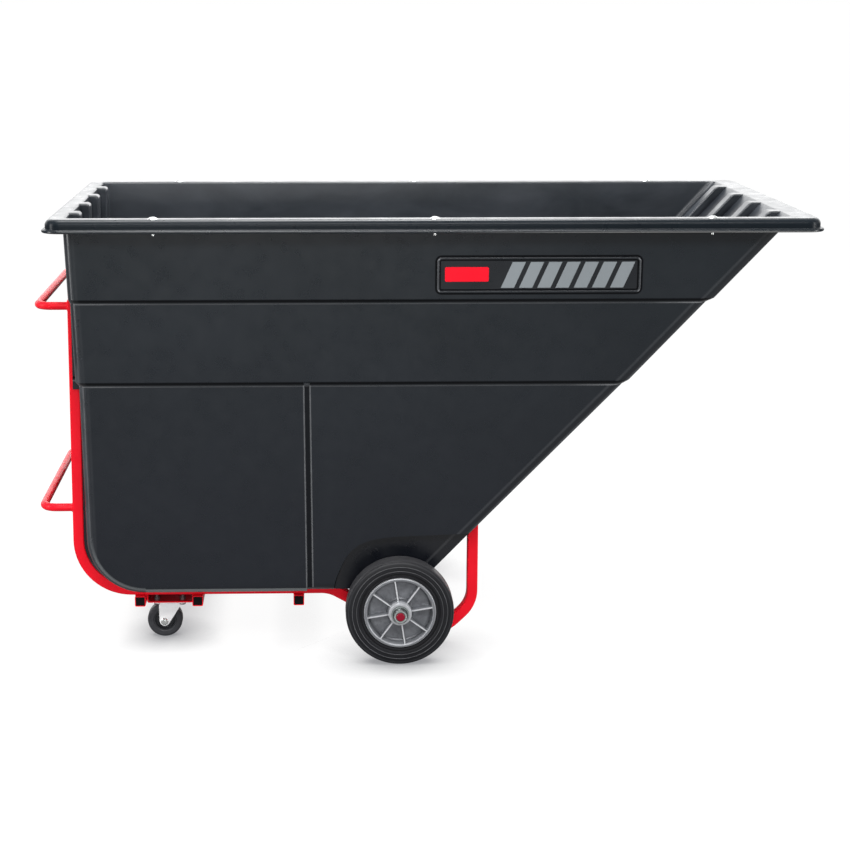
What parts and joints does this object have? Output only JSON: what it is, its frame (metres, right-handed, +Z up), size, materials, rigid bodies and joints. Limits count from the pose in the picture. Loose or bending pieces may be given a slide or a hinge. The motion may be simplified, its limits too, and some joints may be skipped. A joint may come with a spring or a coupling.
{
  "type": "tilt truck",
  "caption": "Dark moulded tilt truck with a long sloped pour end and rolled rim, on a bent red tube frame with large side wheels and small swivel casters.",
  "frame": {"origin": "on the floor, under the middle of the whole truck's bounding box", "axes": "+X towards the sloped pour end, +Y towards the left side seen from the push handles, +Z up"},
  "size_m": [1.814, 0.851, 1.0612],
  "materials": {
    "tub_plastic": "satin, fine moulded grain",
    "frame_red": "glossy powder coat",
    "axle_red": "glossy paint",
    "zinc_bright": "bright zinc plate",
    "zinc_fastener": "bright zinc plate",
    "hub_grey": "painted grey casting",
    "tyre_black": "matt moulded rubber",
    "tread_dark": "smooth dark rubber",
    "core_dark": "matt moulded plastic",
    "plug_black": "matt moulded plastic",
    "bushing_grey": "matt moulded nylon",
    "reflector_red": "printed red patch",
    "stripe_grey": "printed light grey bars"
  },
  "bodies": {
    "cart": {"tub_shell": "tub_plastic", "side_rail_right": "frame_red", "side_rail_left": "frame_red", "cross_tube_rear": "frame_red", "cross_tube_caster": "frame_red", "cross_tube_middle": "frame_red", "cross_tube_plugs": "plug_black", "upright_plugs": "plug_black", "front_saddle": "frame_red", "caster_channel": "frame_red", "handle_upper": "frame_red", "handle_lower": "frame_red", "rim_frame": "frame_red", "rim_bolts": "zinc_fastener", "rim_nuts": "zinc_fastener", "floor_screws": "zinc_fastener", "floor_washers": "zinc_fastener", "back_bolts": "zinc_fastener", "back_washers": "zinc_fastener", "back_spacers": "frame_red", "axle_hanger_right": "frame_red", "axle_hanger_left": "frame_red", "axle_tube": "frame_red", "axle_spacers": "zinc_fastener", "axle_washers": "zinc_fastener", "axle_nuts": "zinc_fastener", "main_axle": "axle_red", "caster_plate_right": "zinc_bright", "caster_plate_left": "zinc_bright", "caster_balls_right": "zinc_bright", "caster_balls_left": "zinc_bright", "caster_bolts": "zinc_fastener", "caster_nuts": "zinc_fastener", "reflector_right": "reflector_red", "reflector_left": "reflector_red", "stripes_right": "stripe_grey", "stripes_left": "stripe_grey"},
    "wheel_right": {"tyre_right": "tyre_black", "hub_right": "hub_grey", "hub_bushing_right": "bushing_grey"},
    "caster_right": {"caster_fork_right": "zinc_bright", "caster_axle_right": "zinc_fastener", "caster_sleeve_right": "zinc_fastener"},
    "caster_wheel_right": {"caster_core_right": "core_dark", "caster_tread_right": "tread_dark"},
    "wheel_left": {"tyre_left": "tyre_black", "hub_left": "hub_grey", "hub_bushing_left": "bushing_grey"},
    "caster_left": {"caster_fork_left": "zinc_bright", "caster_axle_left": "zinc_fastener", "caster_sleeve_left": "zinc_fastener"},
    "caster_wheel_left": {"caster_core_left": "core_dark", "caster_tread_left": "tread_dark"}
  },
  "joints": [
    {"name": "wheel_right_spin", "type": "hinge", "parent": "cart", "child": "wheel_right", "pos_m": [-0.053, -0.3745, 0.127], "axis": [0, 1, 0], "continuous": true},
    {"name": "caster_right_swivel", "type": "hinge", "parent": "cart", "child": "caster_right", "pos_m": [-0.603, -0.187, 0.09], "axis": [0, 0, 1], "continuous": true},
    {"name": "caster_right_roll", "type": "hinge", "parent": "caster_right", "child": "caster_wheel_right", "pos_m": [-0.618, -0.187, 0.0425], "axis": [0, 1, 0], "continuous": true},
    {"name": "wheel_left_spin", "type": "hinge", "parent": "cart", "child": "wheel_left", "pos_m": [-0.053, 0.3745, 0.127], "axis": [0, 1, 0], "continuous": true},
    {"name": "caster_left_swivel", "type": "hinge", "parent": "cart", "child": "caster_left", "pos_m": [-0.603, 0.187, 0.09], "axis": [0, 0, 1], "continuous": true},
    {"name": "caster_left_roll", "type": "hinge", "parent": "caster_left", "child": "caster_wheel_left", "pos_m": [-0.618, 0.187, 0.0425], "axis": [0, 1, 0], "continuous": true}
  ]
}
